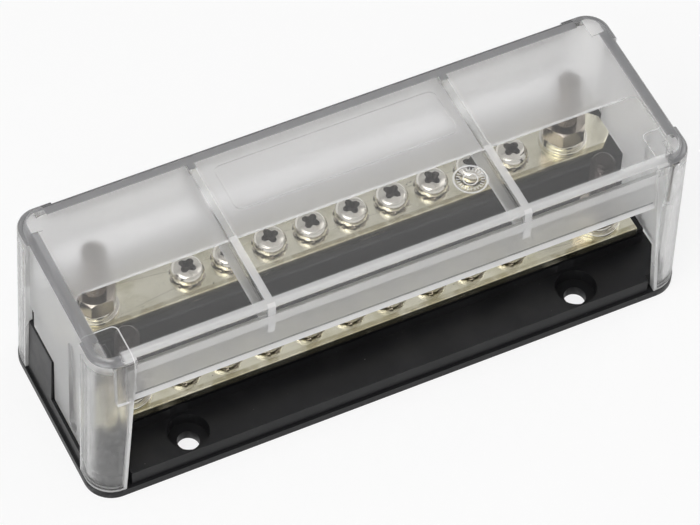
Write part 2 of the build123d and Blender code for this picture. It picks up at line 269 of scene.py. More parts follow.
def rgb(value, times=1.0):
    """A colour setting as a plain tuple, each part times the same number."""
    return tuple(times * part for part in value)


def material(name):
    """A new material with its tree, its shader and object coordinates."""
    made = bpy.data.materials.new(name)
    made.use_nodes = True
    tree = made.node_tree
    shader = tree.nodes["Principled BSDF"]
    place = tree.nodes.new("ShaderNodeTexCoord").outputs["Object"]
    return made, tree, shader, place


def bump(tree, shader, height, distance, strength):
    """Fine relief from a height, its distance in metres."""
    relief = {"Height": height, "Distance": distance, "Strength": strength}
    tree.links.new(node(tree, "ShaderNodeBump", relief).outputs[0], shader.inputs["Normal"])


def uneven(tree, level, noise, reach):
    """level, moved by noise to half the reach above and below it."""
    return maths(tree, "MULTIPLY_ADD", noise, reach, level - reach / 2)


def between(tree, fac, low, high):
    """low where fac is 0, high where it is 1, and a mix between."""
    made = node(tree, "ShaderNodeMapRange", {"Value": fac, "To Min": low, "To Max": high})
    return made.outputs[0]


def corner_reach(tree, inside_x, inside_y, corner):
    """Distance out from a rounded corner's middle, from the distances inside its two edges."""
    short_x = maths(tree, "MAXIMUM", maths(tree, "SUBTRACT", corner, inside_x), 0.0)
    short_y = maths(tree, "MAXIMUM", maths(tree, "SUBTRACT", corner, inside_y), 0.0)
    return hypotenuse(tree, short_x, short_y)


def hypotenuse(tree, across, along):
    """Length of the slope over two sides at a right angle."""
    squares = maths(tree, "MULTIPLY_ADD", across, across, maths(tree, "MULTIPLY", along, along))
    return maths(tree, "SQRT", squares)


def off(tree, value, line):
    """Distance of value from a line, to either side."""
    return maths(tree, "ABSOLUTE", maths(tree, "SUBTRACT", value, line))


def strip(tree, value, low, high, soft):
    """1 where value lies between low and high, softened at both ends."""
    rise = band(tree, value, low - soft, low + soft)
    return maths(tree, "MULTIPLY", rise, band(tree, value, high - soft, high + soft, 1.0, 0.0))


def ramp(tree, value, start, end, first=0.0, last=1.0):
    """band from one place to another, both in millimetres."""
    return band(tree, value, start * MM, end * MM, first, last)


def product(tree, *values):
    """All the values multiplied together."""
    total = values[0]
    for value in values[1:]:
        total = maths(tree, "MULTIPLY", total, value)
    return total


def strongest(tree, *values):
    """The greatest of the values."""
    total = values[0]
    for value in values[1:]:
        total = maths(tree, "MAXIMUM", total, value)
    return total


def base_material(style):
    """Black moulded plastic with a fine grain, scuffs and a little dust."""
    made, tree, shader, place = material("base_black")
    grain = speckle(tree, place, 2600, 4)
    cloud = speckle(tree, place, 60, 4)
    scuff = speckle(tree, place, 220, 5, 0.7, (0.2, 1.0, 1.0))
    dust = blend_colour(tree, band(tree, cloud, 0.45, 0.75), rgb(style.black), rgb(style.dusty))
    fleck = band(tree, speckle(tree, place, 1400, 1), 0.80, 0.83)
    socket(tree, shader, "Base Color", blend_colour(tree, fleck, dust, rgb(style.fleck)))
    socket(tree, shader, "Roughness", uneven(tree, style.roughness, scuff, 0.22))
    shader.inputs["Specular IOR Level"].default_value = style.gloss
    bump(tree, shader, grain, 0.02 * MM, 0.6)
    return made


def metal_material(name, body, stain, roughness, dent, scratch=(1, 1, 1), specks=0.0, wear_and_shade=None):
    """Plated metal with scratches, faint stains, dark specks, soft dents, and long edges darkened
    partly by worn plating and partly by painted shade.
    """
    made, tree, shader, place = material(name)
    cloud = speckle(tree, place, 110, 5, 0.6)
    fine = speckle(tree, place, 900, 3, 0.6, scratch)
    pits = speckle(tree, place, 420, 4, 0.6)
    stained = blend_colour(tree, band(tree, cloud, 0.42, 0.72), body, stain)
    if specks:
        speck_shade = 0.16
        dot = maths(tree, "MULTIPLY", band(tree, speckle(tree, place, 620, 2), 0.70, 0.76), specks)
        stained = blend_colour(tree, dot, stained, rgb(body, speck_shade))
    # Along the long edges and side faces the colour darkens in patches: worn plating, and painted
    # shade on the side faces.
    if wear_and_shade:
        middle, reach, shade = wear_and_shade
        soft = 0.2 * MM
        y = node(tree, "ShaderNodeSeparateXYZ", {"Vector": place}).outputs[1]
        edge = band(tree, off(tree, y, middle), reach - soft, reach + soft)
        patch = band(tree, speckle(tree, place, 240, 3), 0.36, 0.58, 0.35, 0.9)
        stained = blend_colour(tree, maths(tree, "MULTIPLY", edge, patch), stained, shade)
    socket(tree, shader, "Base Color", stained)
    shader.inputs["Metallic"].default_value = 1.0
    socket(tree, shader, "Roughness", uneven(tree, roughness, fine, 0.18))
    bump(tree, shader, maths(tree, "ADD", fine, pits), dent, 0.5)
    return made


# The cover's finish, laid over it by masks: each is 1 on its own part of the moulding, 0 elsewhere.
# A pair of plain numbers says where a mask starts and where it is full, in millimetres.

# Widths over which masks soften, on broad parts and on fine ones
SOFT = 0.12 * MM
FINE = 0.05 * MM

Spot = namedtuple("Spot", "x y z far_x far_y top outer skirt rib")


def cover_spot(tree, style, place):
    """Places over the cover, with the masks of its top face, outer walls, skirts and ribs."""
    x, y, z = node(tree, "ShaderNodeSeparateXYZ", {"Vector": place}).outputs
    far_x, far_y = maths(tree, "ABSOLUTE", x), maths(tree, "ABSOLUTE", y)
    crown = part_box("cover")[1].z
    edge_depth, face_depth, half_rib = 1.2 * MM, 1.0 * MM, 1.0 * MM
    wall, skirt_end = (23.3, 23.6), (68.2, 67.8)
    top = band(tree, z, crown - edge_depth, crown - face_depth)
    outer = ramp(tree, far_y, *wall)
    skirt = product(tree, outer, ramp(tree, far_x, *skirt_end))
    rib = strip(tree, far_x, style.rib_place - half_rib, style.rib_place + half_rib, FINE)
    return Spot(x, y, z, far_x, far_y, top, outer, skirt, rib)


def past_wall(tree, value, z, foot, lean):
    """Distance of value past a wall that stands at foot where z is 0 and leans out by lean * z."""
    return maths(tree, "SUBTRACT", value, maths(tree, "MULTIPLY_ADD", z, lean, foot))


def mark_mask(tree, style, spot):
    """The moulding insert's ring, hub and ticks on the top."""
    off_x = maths(tree, "SUBTRACT", spot.x, style.mark_x)
    off_y = maths(tree, "SUBTRACT", spot.y, style.mark_y)
    radius = hypotenuse(tree, off_x, off_y)
    edge = style.mark_radius
    ring_width, soft = 0.50 * MM, 0.06 * MM
    hub_inside, hub_outside = 0.36 * edge, 0.44 * edge
    tick_inside, tick_outside = 0.58 * edge, 0.80 * edge
    tick_side, tick_middle = 0.20, 0.12
    ring = strip(tree, radius, edge - ring_width, edge, soft)
    hub = strip(tree, radius, hub_inside, hub_outside, soft)
    turn = maths(tree, "ARCTAN2", off_y, off_x)
    turn = maths(tree, "MULTIPLY", turn, style.mark_ticks / (2 * pi))
    ripple = off(tree, maths(tree, "FRACT", turn), 0.5)
    ticks = product(
        tree,
        band(tree, ripple, tick_side, tick_middle),
        strip(tree, radius, tick_inside, tick_outside, soft),
    )
    return product(tree, strongest(tree, ring, hub, ticks), spot.top)


def window_masks(tree, style, spot):
    """The polished window in the ceiling, and the fine pale line along its step, a painted
    highlight.
    """
    corner = style.window_corner
    inside_x = maths(tree, "SUBTRACT", style.window_end, spot.far_x)
    inside_y = maths(tree, "SUBTRACT", style.window_back, spot.y)
    reach = corner_reach(tree, inside_x, inside_y, corner)
    above_band = band(tree, spot.z, style.band_foot - SOFT, style.band_foot + SOFT)
    window = product(tree, band(tree, reach, corner, corner - SOFT), above_band)
    # The painted highlight line is fainter near the window's ends
    line_width, near_end, faint = (0.46, 0.32), (3.0, 6.0), 0.35
    step_foot, step_top = 49.7 * MM, 50.6 * MM
    line = product(
        tree,
        ramp(tree, off(tree, reach, corner), *line_width),
        strip(tree, spot.z, step_foot, step_top, FINE),
        ramp(tree, inside_x, *near_end, faint, 1.0),
    )
    return window, line


def painted_rim_masks(tree, style, spot):
    """The painted grey shade round the top's rim, the painted dark shade line along its back, and
    the pale strip in front, a painted highlight.
    """
    wall_lean, post_bulge = 1.75 * MM, 1.6 * MM
    post_x, post_y, rear = (68.6, 71.6), (16.0, 19.0), (20.5, 22.5)
    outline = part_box("cover")[1] - Vector((wall_lean, wall_lean, 0))
    straight, bulged = [
        corner_reach(
            tree,
            maths(tree, "SUBTRACT", outline.x + bulge, spot.far_x),
            maths(tree, "SUBTRACT", outline.y + bulge, spot.far_y),
            style.rim_corner,
        )
        for bulge in (0.0, post_bulge)
    ]
    at_post = product(tree, ramp(tree, spot.far_x, *post_x), ramp(tree, spot.far_y, *post_y))
    out = between(tree, band(tree, at_post, 0.45, 0.55), straight, bulged)
    # A notch of the same painted grey shade reaches in along each rib's rear end
    rim_foot = style.rim_corner - style.rim_width
    notch_foot = outline.y - style.rim_width - style.rim_notch
    notch = product(tree, spot.rib, band(tree, spot.y, notch_foot - SOFT, notch_foot + SOFT))
    rim = strongest(tree, band(tree, out, rim_foot - SOFT, rim_foot + SOFT), notch)
    # The line along the back is a painted dark shade.
    line_foot = style.rim_corner - style.back_shade_line_width
    back_shade_line = product(
        tree,
        band(tree, out, line_foot - FINE, line_foot + FINE),
        ramp(tree, spot.y, *rear),
        spot.top,
    )
    # Between the front posts the painted grey shade stops short of a pale strip, a painted
    # highlight
    post_side, grey_end, pale_start = (71.5, 70.0), (-20.6, -21.2), (-21.8, -22.4)
    off_posts = ramp(tree, spot.far_x, *post_side)
    front = product(tree, ramp(tree, spot.y, *pale_start), off_posts, spot.top)
    bare = product(tree, ramp(tree, spot.y, *grey_end), off_posts)
    rim = product(tree, rim, spot.top, maths(tree, "SUBTRACT", 1.0, bare))
    return rim, back_shade_line, front


def skirt_masks(tree, style, spot):
    """The skirts' pale band below the polished one, the painted pale highlight along their lower
    edge, and the painted shade line over it.
    """
    edge_foot, edge_top = style.sill - 1.0 * MM, style.sill + 2.1 * MM
    line_foot, line_top = style.sill + 2.2 * MM, style.sill + 2.8 * MM
    return [
        product(tree, strip(tree, spot.z, low, high, soft), spot.skirt)
        for low, high, soft in (
            (style.pale_foot, style.band_foot, SOFT),
            (edge_foot, edge_top, FINE),
            (line_foot, line_top, FINE),
        )
    ]


def post_masks(tree, style, spot):
    """The painted highlight line round each front post's opening, and the painted pale highlight on
    the free edges of the posts' legs.
    """
    side, side_lean, inner_side, corner = 65.5 * MM, 0.055, 14.7 * MM, 1.5 * MM
    inside_x = past_wall(tree, spot.far_x, spot.z, side, side_lean)
    inside_y = maths(tree, "SUBTRACT", spot.far_y, inner_side)
    reach = corner_reach(tree, inside_x, inside_y, corner)
    # The painted highlight line is on the front half alone, and fainter on the right
    line_width, front_half, right_half, faint = (0.20, 0.10), (-1.0, -2.0), (-1.0, 1.0), 0.45
    soft = 0.2 * MM
    line = product(
        tree,
        ramp(tree, off(tree, reach, corner), *line_width),
        band(tree, spot.z, style.sill - soft, style.sill),
        strongest(tree, spot.top, spot.outer),
        ramp(tree, spot.y, *front_half),
        ramp(tree, spot.x, *right_half, 1.0, faint),
    )
    # A leg's edges face the wire window and the end wall's opening, and carry a painted pale
    # highlight
    window_side, window_lean, end_side, end_lean = 71.15 * MM, -0.07, 16.6 * MM, -0.0244
    edge_start, window_edge, end_edge = -0.4 * MM, 0.9 * MM, 0.7 * MM
    end_wall = (76.0, 76.6)
    past_window = past_wall(tree, spot.far_x, spot.z, window_side, window_lean)
    past_end = past_wall(tree, spot.far_y, spot.z, end_side, end_lean)
    at_window = strip(tree, past_window, edge_start, window_edge, SOFT)
    at_end = strip(tree, past_end, edge_start, end_edge, SOFT)
    below_sill = band(tree, spot.z, style.sill + soft, style.sill)
    edge = strongest(
        tree,
        product(tree, at_window, below_sill, spot.outer),
        product(tree, at_end, below_sill, ramp(tree, spot.far_x, *end_wall)),
    )
    return line, edge


def cover_material(style):
    """Clear plastic, frosted but for the top's face and a polished window over the front row, with
    painted shade at the top's rim and painted highlights along edges and steps.
    """
    made, tree, shader, place = material("cover_frosted")
    spot = cover_spot(tree, style, place)
    window, window_step_highlight = window_masks(tree, style, spot)
    rim, back_shade_line, front = painted_rim_masks(tree, style, spot)
    pale_band, sill_highlight, sill_shade_line = skirt_masks(tree, style, spot)
    post_highlight_line, leg_edge_highlight = post_masks(tree, style, spot)
    # The ribs show through the top, less so behind the window, and down the skirts to their ends
    strong, weak, rib_end = 0.62, 0.35, (41.6, 41.9)
    behind = band(tree, spot.y, style.window_back - FINE, style.window_back + FINE, strong, weak)
    rib_top = product(tree, spot.rib, spot.top, behind)
    rib_foot = product(tree, spot.rib, spot.outer, ramp(tree, spot.z, *rib_end))
    lowest, foot_end, foot_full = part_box("cover")[0].z, 0.9 * MM, 0.6 * MM
    foot = band(tree, spot.z, lowest + foot_end, lowest + foot_full)
    # Each pale part with its strength; the front strip, the post line and the legs' edges are
    # painted highlights, and the rim shows the painted grey shade
    pale_parts = (
        (front, 0.62),
        (pale_band, 0.62),
        (rib_foot, 0.8),
        (post_highlight_line, 0.9),
        (leg_edge_highlight, 0.8),
        (foot, 0.7),
        (mark_mask(tree, style, spot), 0.75),
        (rim, 0.62),
    )
    pale = strongest(
        tree,
        window_step_highlight,
        sill_highlight,
        rib_top,
        *(product(tree, mask, strength) for mask, strength in pale_parts),
    )
    post_x, post_y, under_top = (69.5, 71.5), (15.5, 17.5), (49.0, 47.5)
    posts = product(
        tree,
        ramp(tree, spot.far_x, *post_x),
        ramp(tree, spot.far_y, *post_y),
        ramp(tree, spot.z, *under_top),
    )
    ceiling_foot, ceiling_top = 49.6 * MM, 50.9 * MM
    ceiling = strip(tree, spot.z, ceiling_foot, ceiling_top, FINE)
    top_polish, rim_polish = 0.98, 0.8
    clear = strongest(
        tree, window, product(tree, spot.top, top_polish), product(tree, rim, rim_polish)
    )
    cloud = speckle(tree, place, 90, 4)
    frosted = between(tree, ceiling, style.frost_roughness, style.ceiling_roughness)
    frosted = between(tree, posts, frosted, style.post_roughness)
    frosted = maths(tree, "ADD", frosted, uneven(tree, 0.0, cloud, 0.10))
    socket(tree, shader, "Roughness", between(tree, clear, frosted, style.polish_roughness))
    haze = between(tree, ceiling, style.frost_body, style.ceiling_body)
    haze = between(tree, posts, haze, style.post_body)
    haze = maths(tree, "ADD", haze, uneven(tree, 0.0, cloud, 0.08))
    # A mottle in the frost of the walls, below the top
    wall_top, mottle_depth = (49.0, 48.0), 0.12
    mottle = band(tree, speckle(tree, place, 850, 3, 0.7), 0.50, 0.68)
    mottled = product(tree, mottle, ramp(tree, spot.z, *wall_top), mottle_depth)
    haze = maths(tree, "SUBTRACT", haze, mottled)
    body = between(tree, clear, haze, style.polish_body)
    socket(tree, shader, "Transmission Weight", between(tree, pale, body, style.edge_body))
    top_foot = (49.4, 49.7)
    in_top = ramp(tree, spot.z, *top_foot)
    plain = blend_colour(tree, in_top, rgb(style.tint), rgb(style.top_tint))
    # The rim and the line over the sill take the painted grey shade.
    with_rim_shade = blend_colour(tree, strongest(tree, rim, sill_shade_line), plain, rgb(style.rim_shade))
    # The line at the back of the top is a painted dark shade.
    socket(tree, shader, "Base Color", blend_colour(tree, back_shade_line, with_rim_shade, rgb(style.back_shade_line)))
    shader.inputs["IOR"].default_value = 1.49
    grain = speckle(tree, place, 1500, 3)
    bump(tree, shader, product(tree, grain, maths(tree, "SUBTRACT", 1.0, clear)), 0.01 * MM, 0.4)
    return made


# Meshes


def loose_object(name, shape):
    """A new object from a bmesh, linked to the scene."""
    made = bpy.data.objects.new(name, bpy.data.meshes.new(name))
    shape.to_mesh(made.data)
    shape.free()
    bpy.context.scene.collection.objects.link(made)
    return made


def mesh_object(name, shape, finish, body):
    """A new piece from a bmesh, riding on a CAD body, with its finish."""
    made = loose_object(name, shape)
    made.data.materials.append(finish)
    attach(made, body)
    return made


def smooth_by_angle(mesh, limit):
    """Smooth faces, kept sharp over edges bent by more than the limit, in degrees."""
    mesh.shade_smooth()
    mesh.set_sharp_from_angle(angle=radians(limit))


def skin(shape, low, high):
    """A closed strip of faces from one ring of vertices to the next."""
    for i in range(len(low)):
        j = (i + 1) % len(low)
        shape.faces.new((low[i], low[j], high[j], high[i]))


def rings(shape, centre, profile, sides):
    """Turned skin through (radius, height) rings; returns the rings of vertices."""
    made = [
        [
            shape.verts.new(
                (
                    centre[0] + radius * cos(2 * pi * i / sides),
                    centre[1] + radius * sin(2 * pi * i / sides),
                    centre[2] + height,
                )
            )
            for i in range(sides)
        ]
        for radius, height in profile
    ]
    for low, high in zip(made, made[1:]):
        skin(shape, low, high)
    return made


def cap(shape, ring, up):
    """Closes a ring with one face."""
    shape.faces.new(ring if up else ring[::-1])


def round_edges(piece, width, limit):
    """A fine rounding of the edges that are bent by more than the limit, in degrees."""
    rounding = piece.modifiers.new("rounding", "BEVEL")
    rounding.width = width
    rounding.segments = 2
    rounding.limit_method = "ANGLE"
    rounding.angle_limit = radians(limit)


def dress(name, finish, edge=0.0):
    """Gives a CAD node its finish, welded corners and a fine rounding of its edges."""
    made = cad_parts[name]
    made.data.materials.clear()
    made.data.materials.append(finish)
    made.modifiers.new("weld", "WELD").merge_threshold = 0.002 * MM
    if edge:
        round_edges(made, edge, 35)


class BUSBAR_OT_base(bpy.types.Operator):
    """Finish the black base moulding"""

    bl_idname = "busbar.base"
    bl_label = "Base moulding"

    def execute(self, context):
        style = context.scene.base_plastic
        dress("base", base_material(style), style.edge)
        return {"FINISHED"}


class BUSBAR_OT_bars(bpy.types.Operator):
    """Finish the two plated bars"""

    bl_idname = "busbar.bars"
    bl_label = "Plated bars"

    def execute(self, context):
        style = context.scene.plating
        for tier in TIERS:
            low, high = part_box(f"{tier}_bar")
            middle, half_width = (low.y + high.y) / 2, (high.y - low.y) / 2
            finish = metal_material(
                f"{tier}_bar_plating",
                rgb(style.bar),
                rgb(style.bar_stain),
                style.bar_roughness,
                0.006 * MM,
                scratch=(0.08, 1, 1),
                specks=0.8,
                wear_and_shade=(middle, half_width - style.wear_and_shade_width, rgb(style.wear_and_shade)),
            )
            dress(f"{tier}_bar", finish, 0.12 * MM)
        return {"FINISHED"}


class BUSBAR_OT_studs(bpy.types.Operator):
    """Model the four terminal studs with cut threads and hex heads"""

    bl_idname = "busbar.studs"
    bl_label = "Terminal studs"

    def execute(self, context):
        sizes = context.scene.terminals
        style = context.scene.plating
        # The lower studs take the darkened colour, a painted shade.
        for tier, steel in zip(TIERS, (style.stud, style.shaded_stud)):
            finish = metal_material(
                f"{tier}_stud_steel",
                rgb(steel),
                rgb(steel, style.stud_stain),
                style.stud_roughness,
                0.01 * MM,
            )
            for hand in HANDS:
                self.stud(f"{tier}_{hand}", sizes, finish)
        return {"FINISHED"}

    def stud(self, place, sizes, finish):
        """A hex head, a plain shank, and a thread from inside the nut up to a chamfered tip."""
        low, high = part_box(f"{place}_stud")
        nut_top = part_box(f"{place}_nut")[1].z
        centre = Vector(((low.x + high.x) / 2, (low.y + high.y) / 2, 0))
        corner = (high.y - low.y) / 2 / cos(radians(30))
        shank, crest, head_height, chamfer = 2.8 * MM, 3.0 * MM, 4.0 * MM, 0.4 * MM
        shoulder = low.z + head_height
        shape = bmesh.new()
        head = rings(
            shape,
            centre,
            [
                (corner - chamfer, low.z),
                (corner, low.z + chamfer),
                (corner, shoulder - chamfer),
                (corner - chamfer, shoulder),
            ],
            6,
        )
        cap(shape, head[0], False)
        cap(shape, head[-1], True)
        sides = 40
        start, tip = nut_top - sizes.thread_pitch, high.z
        rows = round((tip - start) / sizes.thread_pitch * sizes.thread_rows)
        shank_rings = rings(shape, centre, [(shank, shoulder), (shank, start)], sides)
        last = shank_rings[-1]
        # The tip narrows over its last stretch, and the thread's flanks are flat at crest and root
        tip_length, tip_slope = 1.1 * MM, 0.9
        flank_slope, flank_cut = 2.6, 0.15
        for row in range(1, rows + 1):
            z = start + (tip - start) * row / rows
            ring = []
            for i in range(sides):
                phase = ((z - start) / sizes.thread_pitch - i / sides) % 1.0
                flank = min(1.0, max(0.0, abs(phase - 0.5) * flank_slope - flank_cut))
                thread = sizes.thread_root + (crest - sizes.thread_root) * flank
                if z < nut_top:
                    thread = shank
                limit = crest - max(0.0, z - tip + tip_length) * tip_slope
                radius = min(thread, limit)
                turn = 2 * pi * i / sides
                spot = (centre.x + radius * cos(turn), centre.y + radius * sin(turn), z)
                ring.append(shape.verts.new(spot))
            skin(shape, last, ring)
            last = ring
        cap(shape, shank_rings[0], False)
        cap(shape, last, True)
        made = mesh_object(f"{place}_threaded_stud", shape, finish, "base")
        smooth_by_angle(made.data, 40)
        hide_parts(f"{place}_stud")


class BUSBAR_OT_nuts(bpy.types.Operator):
    """Finish the nuts, flat washers and spring washers"""

    bl_idname = "busbar.nuts"
    bl_label = "Nuts and washers"

    def execute(self, context):
        style = context.scene.plating
        roughness, stain_share = style.fastener_roughness, 0.7
        nut = metal_material(
            "nut_nickel", rgb(style.nut), rgb(style.nut, stain_share), roughness, 0.02 * MM
        )
        washer = metal_material(
            "washer_nickel", rgb(style.fastener), rgb(style.bar), roughness, 0.008 * MM
        )
        for tier in TIERS:
            for hand in HANDS:
                dress(f"{tier}_{hand}_nut", nut, 0.16 * MM)
                dress(f"{tier}_{hand}_flat_washer", washer, 0.14 * MM)
                dress(f"{tier}_{hand}_spring_washer", washer, 0.18 * MM)
        return {"FINISHED"}


def screw_row(tier):
    """Centres of the terminal screws on one bar, at the bar's top."""
    low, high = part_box(f"{tier}_screws")
    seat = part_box(f"{tier}_bar")[1].z
    radius = (high.y - low.y) / 2
    y = (low.y + high.y) / 2
    first, last = low.x + radius, high.x - radius
    gaps = SCREWS_IN_A_ROW - 1
    return [Vector((first + (last - first) * k / gaps, y, seat)) for k in range(SCREWS_IN_A_ROW)]


def recess_cutter(sizes, top):
    """Cross-shaped cutter that narrows downwards, with pointed arms."""
    reach, depth = sizes.recess_reach, sizes.recess_depth
    # One arm's corners as (across, out), in shares of the reach, up to where the next arm begins
    arm_points = ((-0.40, 0.42), (-0.31, 0.80), (0.0, 1.0), (0.31, 0.80))
    outline = []
    for arm in range(4):
        turn = Matrix.Rotation(arm * pi / 2, 3, "Z")
        outline += [turn @ Vector((out * reach, across * reach, 0)) for across, out in arm_points]
    shape = bmesh.new()
    layers = [
        [shape.verts.new(Vector((p.x * scale, p.y * scale, top + height))) for p in outline]
        for scale, height in ((1.14, 0.6 * MM), (1.0, 0.0), (0.52, -depth))
    ]
    for high, low in zip(layers, layers[1:]):
        skin(shape, low, high)
    cap(shape, layers[0], True)
    cap(shape, layers[-1], False)
    bmesh.ops.recalc_face_normals(shape, faces=shape.faces)
    return shape


def screw_blank(sizes):
    """One pan head screw without its recess, its seat at the origin."""
    r, h = sizes.head_radius, sizes.head_height
    shank, length_below = 2.0 * MM, 8.0 * MM
    rim, tip = 0.15 * MM, 0.5 * MM
    profile = [
        (shank * 0.7, -length_below),
        (shank, tip - length_below),
        (shank, 0.0),
        (r - rim, 0.0),
        (r, rim),
        (r, 0.34 * h),
    ]
    # The head's side turns over into its top along a quarter of an ellipse
    steps, flat_part, side_height, rise = 8, 0.66, 0.36, 0.56
    for k in range(1, steps):
        bend = radians(90) * k / steps
        out = flat_part * r + (1 - flat_part) * r * cos(bend)
        profile.append((out, side_height * h + rise * h * sin(bend)))
    profile += [(0.60 * r, 0.945 * h), (0.42 * r, 0.98 * h), (0.2 * r, h)]
    shape = bmesh.new()
    made = rings(shape, (0, 0, 0), profile, ROUND_SIDES)
    cap(shape, made[0], False)
    cap(shape, made[-1], True)
    bmesh.ops.recalc_face_normals(shape, faces=shape.faces)
    return shape


def screw_template(sizes):
    """Mesh of one pan head screw, its seat at the origin and its recess in the second finish, a
    painted shade.
    """
    top = sizes.head_height
    head = loose_object("screw_blank", screw_blank(sizes))
    cutter = loose_object("recess_cutter", recess_cutter(sizes, top))
    cut = head.modifiers.new("recess", "BOOLEAN")
    cut.operation = "DIFFERENCE"
    cut.solver = "EXACT"
    cut.object = cutter
    round_edges(head, 0.09 * MM, 32)
    bpy.context.view_layer.update()
    result = bpy.data.meshes.new_from_object(
        head.evaluated_get(bpy.context.evaluated_depsgraph_get())
    )
    for each in (head, cutter):
        bpy.data.objects.remove(each)
    # Faces down in the recess take the second finish, the painted shade.
    margin, inside = 0.2 * MM, 0.97 * sizes.recess_reach
    for face in result.polygons:
        deep = top - sizes.recess_depth - margin < face.center.z < top - margin
        face.material_index = int(deep and face.center.xy.length < inside)
    return result


class BUSBAR_OT_screws(bpy.types.Operator):
    """Model the pan head terminal screws, each turned its own way"""

    bl_idname = "busbar.screws"
    bl_label = "Terminal screws"

    def execute(self, context):
        sizes = context.scene.terminals
        style = context.scene.plating
        finish = metal_material(
            "screw_nickel",
            rgb(style.fastener),
            rgb(style.screw_stain),
            style.fastener_roughness,
            0.03 * MM,
        )
        # The recess finish is a painted shade, darker than the nickel.
        recess, recess_roughness = rgb(style.recess), 0.45
        shade = metal_material("screw_recess_shade", recess, recess, recess_roughness, 0.02 * MM)
        template = screw_template(sizes)
        if not any(face.material_index for face in template.polygons):
            raise RuntimeError("the screw's recess was not cut")
        # Degrees that each screw of a row is turned
        turns = {
            "upper": (38, 10, 8, 42, 8, 36, 20, 50, 30),
            "lower": (20, 65, 40, 5, 30, 75, 50, 15, 60),
        }
        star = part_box("upper_star_washers")
        lift = Vector((0, 0, star[1].z - star[0].z))
        for tier in TIERS:
            shape = bmesh.new()
            for centre, turn in zip(screw_row(tier), turns[tier]):
                one = template.copy()
                one.transform(
                    Matrix.Translation(centre + lift) @ Matrix.Rotation(radians(turn), 4, "Z")
                )
                shape.from_mesh(one)
                bpy.data.meshes.remove(one)
            made = mesh_object(f"{tier}_pan_screws", shape, finish, "base")
            made.data.materials.append(shade)
            smooth_by_angle(made.data, 32)
            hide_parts(f"{tier}_screws")
        bpy.data.meshes.remove(template)
        return {"FINISHED"}


class BUSBAR_OT_star_washers(bpy.types.Operator):
    """Model the star washers with twisted outer teeth"""

    bl_idname = "busbar.star_washers"
    bl_label = "Star washers"

    def execute(self, context):
        sizes = context.scene.terminals
        style = context.scene.plating
        # The star washers take a darker nickel, a painted shade under the screw heads.
        finish = metal_material(
            "star_nickel_shaded", rgb(style.star), rgb(style.nut), style.fastener_roughness, 0.01 * MM
        )
        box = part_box("upper_star_washers")
        thick = box[1].z - box[0].z
        for tier in TIERS:
            shape = bmesh.new()
            for centre in screw_row(tier):
                self.star(shape, centre, thick, sizes)
            made = mesh_object(f"{tier}_toothed_washers", shape, finish, "base")
            smooth_by_angle(made.data, 35)
            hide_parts(f"{tier}_star_washers")
        return {"FINISHED"}

    def star(self, shape, centre, thick, sizes):
        """One ring with its teeth, each twisted out of the ring's plane."""
        inner, root, bend, tip = 2.2 * MM, 3.45 * MM, 3.9 * MM, 4.42 * MM
        sheet, overlap, tooth_share, tip_share = 0.36 * MM, 0.25 * MM, 0.62, 0.92
        low = (thick - sheet) / 2
        high = low + sheet
        ring = rings(
            shape, centre, [(inner, low), (root, low), (root, high), (inner, high)], ROUND_SIDES
        )
        skin(shape, ring[-1], ring[0])
        # A tooth's sections, each with its distance out, its share of the twist and its half width
        half = pi * root / sizes.teeth * tooth_share
        tooth_sections = (
            (root - overlap, 0.0, half),
            (bend, 0.6, half),
            (tip, 1.0, half * tip_share),
        )
        middle = Vector((0, 0, thick / 2))
        for tooth in range(sizes.teeth):
            turn = Matrix.Rotation(2 * pi * tooth / sizes.teeth, 4, "Z")
            sections = []
            for out, twist, width in tooth_sections:
                tilt = Matrix.Rotation(sizes.tooth_twist * twist, 4, "X")
                section = []
                for across, up in ((-1, -1), (1, -1), (1, 1), (-1, 1)):
                    corner = tilt @ Vector((0, across * width, up * sheet / 2))
                    # A tooth stops at the bar
                    corner.z = max(corner.z, -thick / 2)
                    point = turn @ (corner + Vector((out, 0, 0)))
                    section.append(shape.verts.new(point + centre + middle))
                sections.append(section)
            for first, second in zip(sections, sections[1:]):
                skin(shape, first, second)
            cap(shape, sections[0], False)
            cap(shape, sections[-1], True)


class BUSBAR_OT_cover(bpy.types.Operator):
    """Finish the translucent lift-off cover"""

    bl_idname = "busbar.cover"
    bl_label = "Cover"

    def execute(self, context):
        dress("cover", cover_material(context.scene.cover_plastic))
        return {"FINISHED"}


def lamp(name, spot, size, power):
    """A soft square lamp that looks at the object."""
    data = bpy.data.lights.new(name, "AREA")
    data.shape = "SQUARE"
    data.size = size
    data.energy = power
    made = bpy.data.objects.new(name, data)
    made.location = spot
    made.rotation_mode = "QUATERNION"
    made.rotation_quaternion = (MIDDLE - Vector(spot)).to_track_quat("-Z", "Y")
    bpy.context.scene.collection.objects.link(made)


